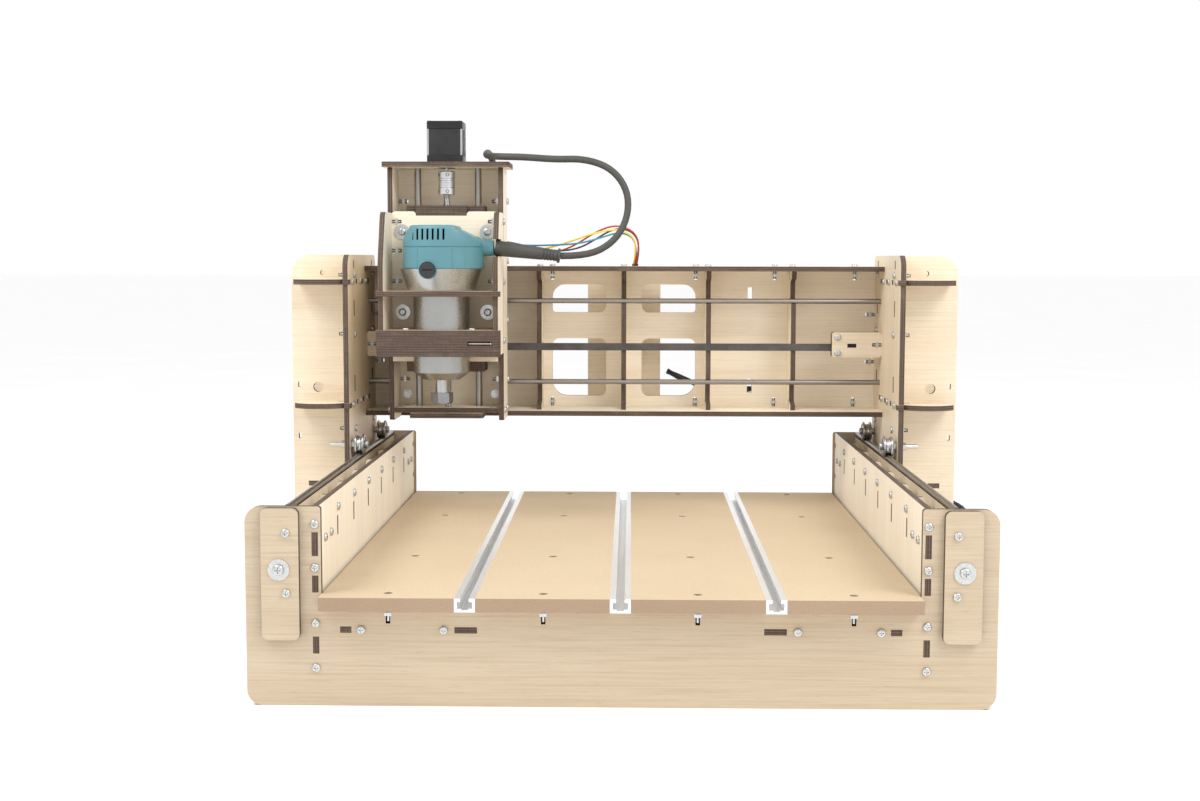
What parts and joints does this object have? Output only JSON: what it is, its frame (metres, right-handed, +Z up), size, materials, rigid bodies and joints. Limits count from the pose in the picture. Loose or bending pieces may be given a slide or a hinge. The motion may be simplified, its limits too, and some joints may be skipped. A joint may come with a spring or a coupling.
{
  "type": "cnc router",
  "caption": "Desktop three-axis CNC router: slotted plywood frame, rolling gantry on round rods, belt and screw drives, trim router in a clamp, T-track table.",
  "frame": {"origin": "on the surface the machine stands on, in the middle of its base", "axes": "X to the operator's right along the gantry, Y to the rear along the table, Z up"},
  "size_m": [0.848, 0.6906, 0.576],
  "materials": {
    "birch_ply": "smooth birch plywood with laser-browned edges",
    "clamp_ply": "stacked plywood layers, dark browned edges",
    "mdf": "fine matte fibreboard",
    "track_aluminium": "clear anodised extrusion",
    "belt_rubber": "matte toothed belt",
    "rod_steel": "ground steel rod",
    "zinc": "bright zinc",
    "wheel_steel": "polished bearing steel",
    "motor_black": "satin black with bare laminations",
    "pulley_aluminium": "turned aluminium",
    "cast_aluminium": "polished casting",
    "teal_plastic": "fine textured moulding",
    "black_plastic": "matte moulding",
    "nut_steel": "blackened steel",
    "cord_rubber": "matte rubber sheath",
    "wire_insulation": "coloured wire insulation",
    "board_green": "coated circuit board with parts"
  },
  "bodies": {
    "base": {"front_plate": "birch_ply", "back_plate": "birch_ply", "inner_walls": "birch_ply", "rail_plates": "birch_ply", "side_bulkheads": "birch_ply", "bed_frame": "birch_ply", "spoilboards": "mdf", "t_tracks": "track_aluminium", "belt_end_plates": "birch_ply", "y_belts": "belt_rubber", "y_rods": "rod_steel", "base_fasteners": "zinc"},
    "gantry": {"gantry_sides": "birch_ply", "tower_panels": "birch_ply", "tower_shelves": "birch_ply", "beam_plates": "birch_ply", "beam_back_panel": "birch_ply", "beam_ribs": "birch_ply", "x_rods": "rod_steel", "gantry_belts": "belt_rubber", "x_belt_anchors": "birch_ply", "y_motors": "motor_black", "gantry_fasteners": "zinc", "electronics_panel": "birch_ply", "controller_board": "board_green", "beam_harness": "wire_insulation"},
    "carriage": {"carriage_frame": "birch_ply", "carriage_top_plate": "birch_ply", "z_rods": "rod_steel", "z_motor": "motor_black", "x_motor": "motor_black", "x_belt_loop": "belt_rubber", "carriage_fasteners": "zinc", "cord_coil": "cord_rubber", "cord_plug": "black_plastic", "carriage_wiring": "wire_insulation"},
    "z_slide": {"slider_box": "birch_ply", "ring_plate": "birch_ply", "router_clamp": "clamp_ply", "slider_fasteners": "zinc", "router_barrel": "cast_aluminium", "router_housing": "teal_plastic", "brush_cap": "black_plastic", "cord_boot": "cord_rubber", "router_cord": "cord_rubber"},
    "spindle": {"router_spindle": "rod_steel", "collet_nut": "nut_steel"},
    "z_screw": {"lead_screw": "rod_steel", "shaft_coupler": "pulley_aluminium"},
    "x_pulley": {"x_pulley": "pulley_aluminium"},
    "y_pulley_left": {"y_pulley_left": "pulley_aluminium"},
    "y_pulley_right": {"y_pulley_right": "pulley_aluminium"},
    "y_wheels_upper_front": {"y_wheels_upper_front": "wheel_steel"},
    "y_wheels_upper_rear": {"y_wheels_upper_rear": "wheel_steel"},
    "y_wheels_lower_front": {"y_wheels_lower_front": "wheel_steel"},
    "y_wheels_lower_rear": {"y_wheels_lower_rear": "wheel_steel"},
    "x_wheel_upper_left": {"x_wheel_upper_left": "wheel_steel"},
    "x_wheel_upper_right": {"x_wheel_upper_right": "wheel_steel"},
    "x_wheel_lower_left": {"x_wheel_lower_left": "wheel_steel"},
    "x_wheel_lower_right": {"x_wheel_lower_right": "wheel_steel"}
  },
  "joints": [
    {"name": "gantry_slide", "type": "slide", "parent": "base", "child": "gantry", "axis": [0, 1, 0], "range_m": [-0.375, 0.055]},
    {"name": "carriage_slide", "type": "slide", "parent": "gantry", "child": "carriage", "axis": [1, 0, 0], "range_m": [-0.02, 0.36]},
    {"name": "z_slide", "type": "slide", "parent": "carriage", "child": "z_slide", "axis": [0, 0, 1], "range_m": [-0.04, 0.035], "deforming": ["router_cord"]},
    {"name": "spindle_spin", "type": "hinge", "parent": "z_slide", "child": "spindle", "pos_m": [-0.211, 0.073, 0.3], "axis": [0, 0, 1], "continuous": true},
    {"name": "z_screw_spin", "type": "hinge", "parent": "carriage", "child": "z_screw", "pos_m": [-0.211, 0.134, 0.4], "axis": [0, 0, 1], "continuous": true},
    {"name": "x_pulley_spin", "type": "hinge", "parent": "carriage", "child": "x_pulley", "pos_m": [-0.211, 0.179, 0.306], "axis": [0, 0, 1], "continuous": true},
    {"name": "y_pulley_left_spin", "type": "hinge", "parent": "gantry", "child": "y_pulley_left", "pos_m": [-0.34815, 0.165, 0.129], "axis": [0, 0, 1], "continuous": true},
    {"name": "y_pulley_right_spin", "type": "hinge", "parent": "gantry", "child": "y_pulley_right", "pos_m": [0.34815, 0.165, 0.129], "axis": [0, 0, 1], "continuous": true},
    {"name": "y_wheels_upper_front_roll", "type": "hinge", "parent": "gantry", "child": "y_wheels_upper_front", "pos_m": [0, 0.076, 0.1975], "axis": [1, 0, 0], "continuous": true},
    {"name": "y_wheels_upper_rear_roll", "type": "hinge", "parent": "gantry", "child": "y_wheels_upper_rear", "pos_m": [0, 0.242, 0.1975], "axis": [1, 0, 0], "continuous": true},
    {"name": "y_wheels_lower_front_roll", "type": "hinge", "parent": "gantry", "child": "y_wheels_lower_front", "pos_m": [0, 0.076, 0.0443], "axis": [1, 0, 0], "continuous": true},
    {"name": "y_wheels_lower_rear_roll", "type": "hinge", "parent": "gantry", "child": "y_wheels_lower_rear", "pos_m": [0, 0.242, 0.0443], "axis": [1, 0, 0], "continuous": true},
    {"name": "x_wheel_upper_left_roll", "type": "hinge", "parent": "carriage", "child": "x_wheel_upper_left", "pos_m": [-0.265, 0.207, 0.3753], "axis": [0, 1, 0], "continuous": true},
    {"name": "x_wheel_upper_right_roll", "type": "hinge", "parent": "carriage", "child": "x_wheel_upper_right", "pos_m": [-0.157, 0.207, 0.3753], "axis": [0, 1, 0], "continuous": true},
    {"name": "x_wheel_lower_left_roll", "type": "hinge", "parent": "carriage", "child": "x_wheel_lower_left", "pos_m": [-0.265, 0.207, 0.2497], "axis": [0, 1, 0], "continuous": true},
    {"name": "x_wheel_lower_right_roll", "type": "hinge", "parent": "carriage", "child": "x_wheel_lower_right", "pos_m": [-0.157, 0.207, 0.2497], "axis": [0, 1, 0], "continuous": true}
  ],
  "couplings": [
    {"joint": "y_wheels_upper_front_roll", "follows": "gantry_slide", "rad_per_m": -107.53},
    {"joint": "y_wheels_upper_rear_roll", "follows": "gantry_slide", "rad_per_m": -107.53},
    {"joint": "y_wheels_lower_front_roll", "follows": "gantry_slide", "rad_per_m": 107.53},
    {"joint": "y_wheels_lower_rear_roll", "follows": "gantry_slide", "rad_per_m": 107.53},
    {"joint": "x_wheel_upper_left_roll", "follows": "carriage_slide", "rad_per_m": 107.53},
    {"joint": "x_wheel_upper_right_roll", "follows": "carriage_slide", "rad_per_m": 107.53},
    {"joint": "x_wheel_lower_left_roll", "follows": "carriage_slide", "rad_per_m": -107.53},
    {"joint": "x_wheel_lower_right_roll", "follows": "carriage_slide", "rad_per_m": -107.53},
    {"joint": "x_pulley_spin", "follows": "carriage_slide", "rad_per_m": -157.08},
    {"joint": "y_pulley_right_spin", "follows": "gantry_slide", "rad_per_m": -157.08},
    {"joint": "y_pulley_left_spin", "follows": "gantry_slide", "rad_per_m": 157.08},
    {"joint": "z_screw_spin", "follows": "z_slide", "rad_per_m": -785.4}
  ]
}
